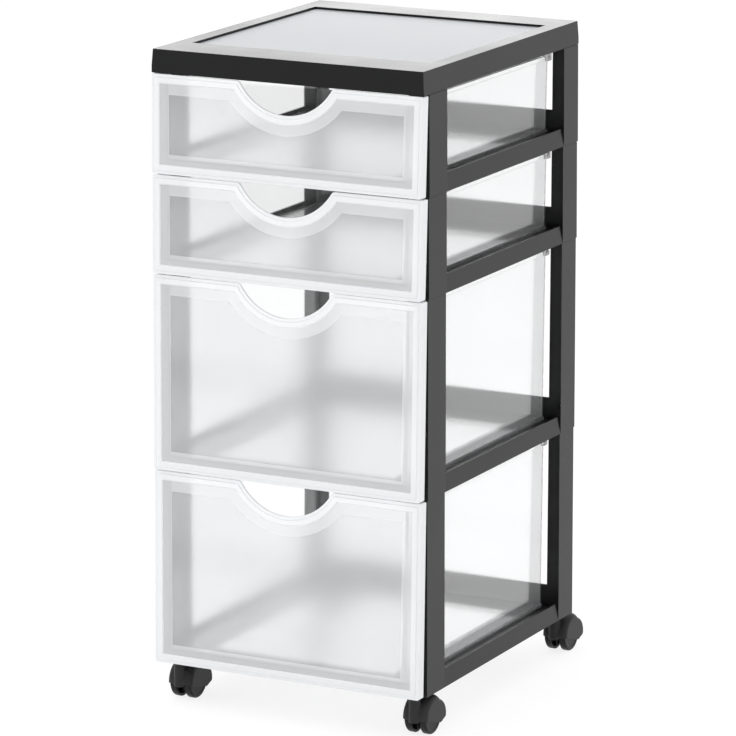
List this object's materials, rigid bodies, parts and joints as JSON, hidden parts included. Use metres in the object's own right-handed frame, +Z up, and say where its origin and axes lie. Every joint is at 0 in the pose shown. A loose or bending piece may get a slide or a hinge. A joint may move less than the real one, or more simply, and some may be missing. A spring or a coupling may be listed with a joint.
{
  "type": "drawer tower",
  "caption": "Rolling plastic drawer tower: clear slide-out drawers with a finger scoop in a stacked open frame under a flat lid, on twin-wheel casters.",
  "frame": {"origin": "on the floor, midway between the left and right sides and between the foremost and rearmost points at rest", "axes": "+X to the tower's right as seen from the front, -Y towards the front, where the drawers open, +Z up"},
  "size_m": [0.307, 0.4073, 0.686],
  "materials": {
    "black_plastic": "satin moulded polypropylene",
    "pearl_plastic": "pearly translucent white, smooth",
    "clear_plastic": "clear polypropylene with a frosted front",
    "caster_plastic": "satin moulded nylon",
    "wheel_plastic": "satin moulded nylon",
    "steel": "zinc plated"
  },
  "bodies": {
    "frame": {"lid_frame": "black_plastic", "lid_panel": "pearl_plastic", "tier_frame_1": "black_plastic", "tier_frame_2": "black_plastic", "tier_frame_3": "black_plastic", "tier_frame_4": "black_plastic", "stem_front_left": "steel", "stem_front_right": "steel", "stem_rear_left": "steel", "stem_rear_right": "steel"},
    "drawer_1_body": {"drawer_1": "clear_plastic"},
    "drawer_2_body": {"drawer_2": "clear_plastic"},
    "drawer_3_body": {"drawer_3": "clear_plastic"},
    "drawer_4_body": {"drawer_4": "clear_plastic"},
    "caster_front_left": {"housing_front_left": "caster_plastic", "axle_front_left": "steel"},
    "wheel_body_front_left_a": {"wheel_front_left_a": "wheel_plastic"},
    "wheel_body_front_left_b": {"wheel_front_left_b": "wheel_plastic"},
    "caster_front_right": {"housing_front_right": "caster_plastic", "axle_front_right": "steel"},
    "wheel_body_front_right_a": {"wheel_front_right_a": "wheel_plastic"},
    "wheel_body_front_right_b": {"wheel_front_right_b": "wheel_plastic"},
    "caster_rear_left": {"housing_rear_left": "caster_plastic", "axle_rear_left": "steel"},
    "wheel_body_rear_left_a": {"wheel_rear_left_a": "wheel_plastic"},
    "wheel_body_rear_left_b": {"wheel_rear_left_b": "wheel_plastic"},
    "caster_rear_right": {"housing_rear_right": "caster_plastic", "axle_rear_right": "steel"},
    "wheel_body_rear_right_a": {"wheel_rear_right_a": "wheel_plastic"},
    "wheel_body_rear_right_b": {"wheel_rear_right_b": "wheel_plastic"}
  },
  "joints": [
    {"name": "drawer_1_slide", "type": "slide", "parent": "frame", "child": "drawer_1_body", "axis": [0, -1, 0], "range_m": [0, 0.28]},
    {"name": "drawer_2_slide", "type": "slide", "parent": "frame", "child": "drawer_2_body", "axis": [0, -1, 0], "range_m": [0, 0.28]},
    {"name": "drawer_3_slide", "type": "slide", "parent": "frame", "child": "drawer_3_body", "axis": [0, -1, 0], "range_m": [0, 0.28]},
    {"name": "drawer_4_slide", "type": "slide", "parent": "frame", "child": "drawer_4_body", "axis": [0, -1, 0], "range_m": [0, 0.28]},
    {"name": "swivel_front_left", "type": "hinge", "parent": "frame", "child": "caster_front_left", "pos_m": [-0.136, -0.1793, 0.046], "axis": [0, 0, 1], "continuous": true},
    {"name": "roll_front_left_a", "type": "hinge", "parent": "caster_front_left", "child": "wheel_body_front_left_a", "pos_m": [-0.136, -0.1603, 0.019], "axis": [1, 0, 0], "continuous": true},
    {"name": "roll_front_left_b", "type": "hinge", "parent": "caster_front_left", "child": "wheel_body_front_left_b", "pos_m": [-0.136, -0.1603, 0.019], "axis": [1, 0, 0], "continuous": true},
    {"name": "swivel_front_right", "type": "hinge", "parent": "frame", "child": "caster_front_right", "pos_m": [0.136, -0.1793, 0.046], "axis": [0, 0, 1], "continuous": true},
    {"name": "roll_front_right_a", "type": "hinge", "parent": "caster_front_right", "child": "wheel_body_front_right_a", "pos_m": [0.136, -0.1603, 0.019], "axis": [1, 0, 0], "continuous": true},
    {"name": "roll_front_right_b", "type": "hinge", "parent": "caster_front_right", "child": "wheel_body_front_right_b", "pos_m": [0.136, -0.1603, 0.019], "axis": [1, 0, 0], "continuous": true},
    {"name": "swivel_rear_left", "type": "hinge", "parent": "frame", "child": "caster_rear_left", "pos_m": [-0.136, 0.1567, 0.046], "axis": [0, 0, 1], "continuous": true},
    {"name": "roll_rear_left_a", "type": "hinge", "parent": "caster_rear_left", "child": "wheel_body_rear_left_a", "pos_m": [-0.136, 0.1757, 0.019], "axis": [1, 0, 0], "continuous": true},
    {"name": "roll_rear_left_b", "type": "hinge", "parent": "caster_rear_left", "child": "wheel_body_rear_left_b", "pos_m": [-0.136, 0.1757, 0.019], "axis": [1, 0, 0], "continuous": true},
    {"name": "swivel_rear_right", "type": "hinge", "parent": "frame", "child": "caster_rear_right", "pos_m": [0.136, 0.1567, 0.046], "axis": [0, 0, 1], "continuous": true},
    {"name": "roll_rear_right_a", "type": "hinge", "parent": "caster_rear_right", "child": "wheel_body_rear_right_a", "pos_m": [0.136, 0.1757, 0.019], "axis": [1, 0, 0], "continuous": true},
    {"name": "roll_rear_right_b", "type": "hinge", "parent": "caster_rear_right", "child": "wheel_body_rear_right_b", "pos_m": [0.136, 0.1757, 0.019], "axis": [1, 0, 0], "continuous": true}
  ]
}
